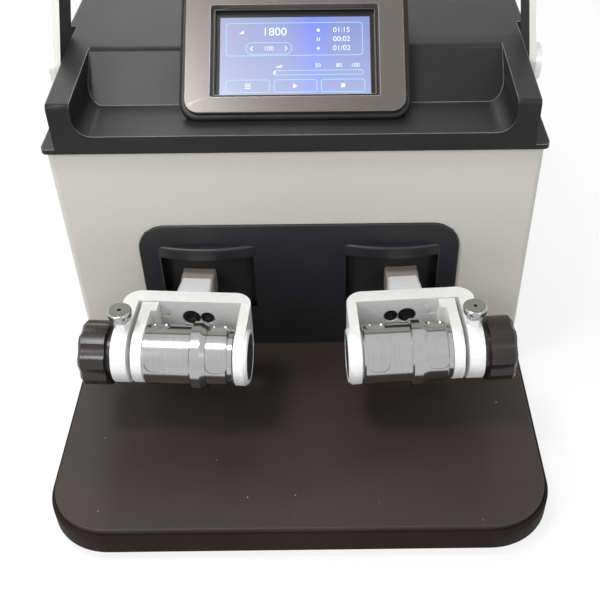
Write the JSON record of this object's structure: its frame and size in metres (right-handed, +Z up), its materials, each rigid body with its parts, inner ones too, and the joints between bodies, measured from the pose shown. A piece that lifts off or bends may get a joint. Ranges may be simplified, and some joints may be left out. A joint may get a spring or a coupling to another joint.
{
  "type": "mixer mill homogenizer",
  "caption": "Bench mill with twin swinging arms that clamp screw-top grinding jars, a leaning touch console and a clear swing-up hood.",
  "frame": {"origin": "centre of the footprint on the bench, at the feet", "axes": "+X to the right of someone facing the machine, +Y to its back, +Z up"},
  "size_m": [0.376, 0.467, 0.6023],
  "materials": {
    "black_moulding": "satin moulded black plastic",
    "black_plate": "fine grained black plate",
    "black_insert": "satin moulded black plastic",
    "black_cover": "fine textured black moulding",
    "rubber": "matte rubber",
    "grey_sheet": "fine textured warm grey powder coat",
    "rear_sheet": "fine textured warm grey powder coat",
    "bezel": "satin dark bezel with a bright edge",
    "screen": "lit touch screen under glass",
    "clear_hood": "clear moulded plastic",
    "hood_arm_black": "black satin paint",
    "satin_steel": "satin machined steel",
    "turned_steel": "bright turned stainless steel",
    "ball_steel": "polished ball steel",
    "steel_screws": "socket screws",
    "shaft_steel": "ground steel",
    "frame_steel": "painted plate",
    "motor_case": "cast ribbed case",
    "supply_case": "folded sheet",
    "board": "green circuit board",
    "bronze": "sintered bronze",
    "cast_arm": "brown grey satin paint",
    "shield_sheet": "black sheet",
    "knob_black": "satin black grip plastic",
    "inlet_plastic": "black plastic",
    "switch_plastic": "gloss black plastic"
  },
  "bodies": {
    "root": {"base_tray": "black_moulding", "rubber_feet": "rubber", "working_plate": "black_plate", "housing": "grey_sheet", "front_insert": "black_insert", "top_cover": "black_cover", "console_case": "black_cover", "console_bezel": "bezel", "touch_screen": "screen", "hood_pivots": "satin_steel", "drive_frame": "frame_steel", "pivot_shafts": "shaft_steel", "drive_motor": "motor_case", "power_supply": "supply_case", "control_board": "board", "rear_panel": "rear_sheet", "fan_frame": "black_cover", "power_inlet": "inlet_plastic", "switch_case": "inlet_plastic"},
    "hood": {"hood_shell": "clear_hood", "hood_screws": "steel_screws", "hood_arm_left": "hood_arm_black", "hood_arm_right": "hood_arm_black"},
    "crank": {"eccentric_crank": "shaft_steel"},
    "fan": {"fan_impeller": "black_cover"},
    "switch": {"switch_rocker": "switch_plastic"},
    "rocker_left": {"pivot_bearings_left": "bronze", "rocker_arm_left": "cast_arm", "arm_shield_left": "shield_sheet", "clamp_left": "satin_steel", "fixed_jaw_left": "satin_steel", "clamp_screws_left": "steel_screws", "pin_guide_left": "satin_steel", "jar_body_left": "turned_steel", "jar_collar_left": "turned_steel", "jar_cap_left": "turned_steel", "grinding_ball_left": "ball_steel"},
    "jaw_left": {"moving_jaw_left": "satin_steel"},
    "knob_left": {"clamp_knob_left": "knob_black", "clamp_spindle_left": "shaft_steel"},
    "pin_left": {"pull_pin_left": "turned_steel"},
    "rod_left": {"drive_rod_left": "frame_steel"},
    "rocker_right": {"pivot_bearings_right": "bronze", "rocker_arm_right": "cast_arm", "arm_shield_right": "shield_sheet", "clamp_right": "satin_steel", "fixed_jaw_right": "satin_steel", "clamp_screws_right": "steel_screws", "pin_guide_right": "satin_steel", "jar_body_right": "turned_steel", "jar_collar_right": "turned_steel", "jar_cap_right": "turned_steel", "grinding_ball_right": "ball_steel"},
    "jaw_right": {"moving_jaw_right": "satin_steel"},
    "knob_right": {"clamp_knob_right": "knob_black", "clamp_spindle_right": "shaft_steel"},
    "pin_right": {"pull_pin_right": "turned_steel"},
    "rod_right": {"drive_rod_right": "frame_steel"}
  },
  "joints": [
    {"name": "swing_left", "type": "hinge", "parent": "root", "child": "rocker_left", "pos_m": [-0.075, 0.0995, 0.101], "axis": [0, 0, 1], "range_deg": [0, 7]},
    {"name": "jaw_slide_left", "type": "slide", "parent": "rocker_left", "child": "jaw_left", "axis": [0.9981, -0.061, 0], "range_m": [-0.003, 0]},
    {"name": "knob_turn_left", "type": "hinge", "parent": "jaw_left", "child": "knob_left", "pos_m": [-0.14841, -0.11792, 0.101], "axis": [0.9981, -0.061, 0], "range_deg": [-720, 0]},
    {"name": "pin_pull_left", "type": "slide", "parent": "rocker_left", "child": "pin_left", "axis": [0, 0, 1], "range_m": [0, 0.004], "stiffness_N_per_m": 400},
    {"name": "rod_pivot_left", "type": "hinge", "parent": "rocker_left", "child": "rod_left", "pos_m": [-0.07195, 0.14941, 0.101], "axis": [0, 0, 1], "range_deg": [-7, 7]},
    {"name": "swing_right", "type": "hinge", "parent": "root", "child": "rocker_right", "pos_m": [0.075, 0.0995, 0.101], "axis": [0, 0, 1], "range_deg": [-7, 0]},
    {"name": "jaw_slide_right", "type": "slide", "parent": "rocker_right", "child": "jaw_right", "axis": [-0.9981, -0.061, 0], "range_m": [-0.003, 0]},
    {"name": "knob_turn_right", "type": "hinge", "parent": "jaw_right", "child": "knob_right", "pos_m": [0.14841, -0.11792, 0.101], "axis": [-0.9981, -0.061, 0], "range_deg": [-720, 0]},
    {"name": "pin_pull_right", "type": "slide", "parent": "rocker_right", "child": "pin_right", "axis": [0, 0, 1], "range_m": [0, 0.004], "stiffness_N_per_m": 400},
    {"name": "rod_pivot_right", "type": "hinge", "parent": "rocker_right", "child": "rod_right", "pos_m": [0.07195, 0.14941, 0.101], "axis": [0, 0, 1], "range_deg": [-7, 7]},
    {"name": "hood_hinge", "type": "hinge", "parent": "root", "child": "hood", "pos_m": [0, 0.0355, 0.261], "axis": [1, 0, 0], "range_deg": [0, 128]},
    {"name": "crank_turn", "type": "hinge", "parent": "root", "child": "crank", "pos_m": [0, 0.1375, 0.101], "axis": [0, 0, 1], "continuous": true},
    {"name": "fan_spin", "type": "hinge", "parent": "root", "child": "fan", "pos_m": [-0.09, 0.2125, 0.129], "axis": [0, 1, 0], "continuous": true},
    {"name": "switch_tip", "type": "hinge", "parent": "root", "child": "switch", "pos_m": [0.12, 0.2255, 0.149], "axis": [1, 0, 0], "range_deg": [-12, 12]}
  ],
  "couplings": [
    {"joint": "knob_turn_left", "follows": "jaw_slide_left", "rad_per_m": 4188.8},
    {"joint": "knob_turn_right", "follows": "jaw_slide_right", "rad_per_m": 4188.8},
    {"joint": "swing_right", "follows": "swing_left", "ratio": -1},
    {"joint": "rod_pivot_left", "follows": "swing_left", "ratio": -1},
    {"joint": "rod_pivot_right", "follows": "swing_left", "ratio": 1}
  ]
}
